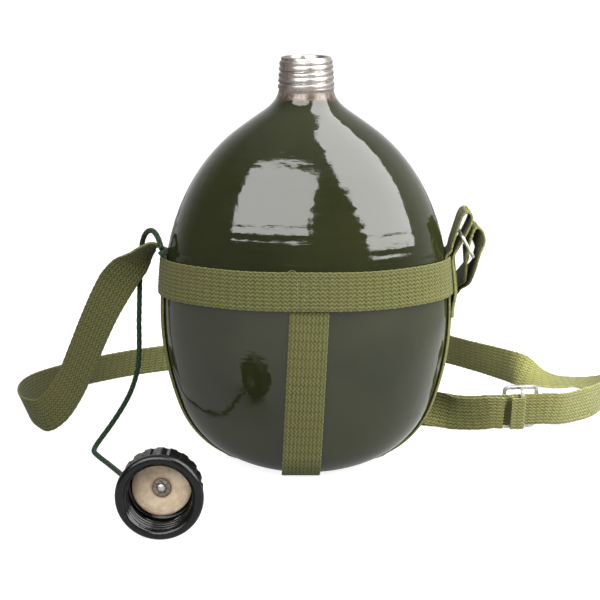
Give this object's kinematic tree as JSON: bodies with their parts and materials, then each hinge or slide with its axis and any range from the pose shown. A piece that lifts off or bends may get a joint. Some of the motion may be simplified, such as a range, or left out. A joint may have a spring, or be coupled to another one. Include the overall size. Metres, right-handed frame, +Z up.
{
  "type": "canteen",
  "caption": "Flattened enamelled aluminium water canteen with a screw cap on a cord, held in a webbing carrier with a long adjustable shoulder strap.",
  "frame": {"origin": "on the ground under the middle of the base, on the underside of the strap that passes under the bottle", "axes": "+Z up along the bottle's axis, -Y towards the broad front face, +X towards the side that holds the strap ring"},
  "size_m": [0.4198, 0.4, 0.249],
  "materials": {
    "enamel": "glossy olive green enamel on spun aluminium, bare metal at the threaded neck",
    "bare_aluminium": "worn, satin",
    "webbing": "woven olive webbing",
    "cord": "braided green cord",
    "cap_plastic": "glossy black moulding",
    "gasket": "tan sealing disc, matt and stained",
    "steel": "dull light grey metal"
  },
  "bodies": {
    "carrier": {"waist_band": "webbing", "front_back_strap": "webbing", "side_strap": "webbing", "strap_ring_loop": "webbing", "cap_cord": "cord", "cord_band_knot": "cord"},
    "bottle": {"bottle_shell": "enamel"},
    "ring": {"strap_ring": "steel"},
    "cap_tether": {"cap_rivet": "steel", "cap_washer": "steel", "cap_eye": "steel", "cord_cap_knot": "cord"},
    "cap": {"cap_shell": "cap_plastic", "cap_gasket": "gasket"},
    "strap": {"shoulder_strap": "webbing", "strap_return": "webbing"},
    "slider": {"slider_frame": "steel", "strap_end_fold": "webbing"}
  },
  "joints": [
    {"name": "bottle_lift", "type": "slide", "parent": "carrier", "child": "bottle", "axis": [0, 0, 1], "range_m": [0, 0.135]},
    {"name": "ring_swing", "type": "hinge", "parent": "carrier", "child": "ring", "pos_m": [0.0936, 0, 0.143], "axis": [0, 1, 0], "range_deg": [-4, 2]},
    {"name": "cap_lift", "type": "slide", "parent": "carrier", "child": "cap_tether", "axis": [0, 0, 1], "range_m": [0, 0.05]},
    {"name": "cap_turn", "type": "hinge", "parent": "cap_tether", "child": "cap", "pos_m": [-0.0796, -0.146, 0.0242], "axis": [0, 1, 0], "continuous": true},
    {"name": "strap_lift", "type": "hinge", "parent": "carrier", "child": "strap", "pos_m": [0, 0, 0.137], "axis": [1, 0, 0], "range_deg": [0, 40]},
    {"name": "slider_slide", "type": "slide", "parent": "strap", "child": "slider", "axis": [0.9929, 0.119, 0], "range_m": [-0.0035, 0.0035]}
  ]
}
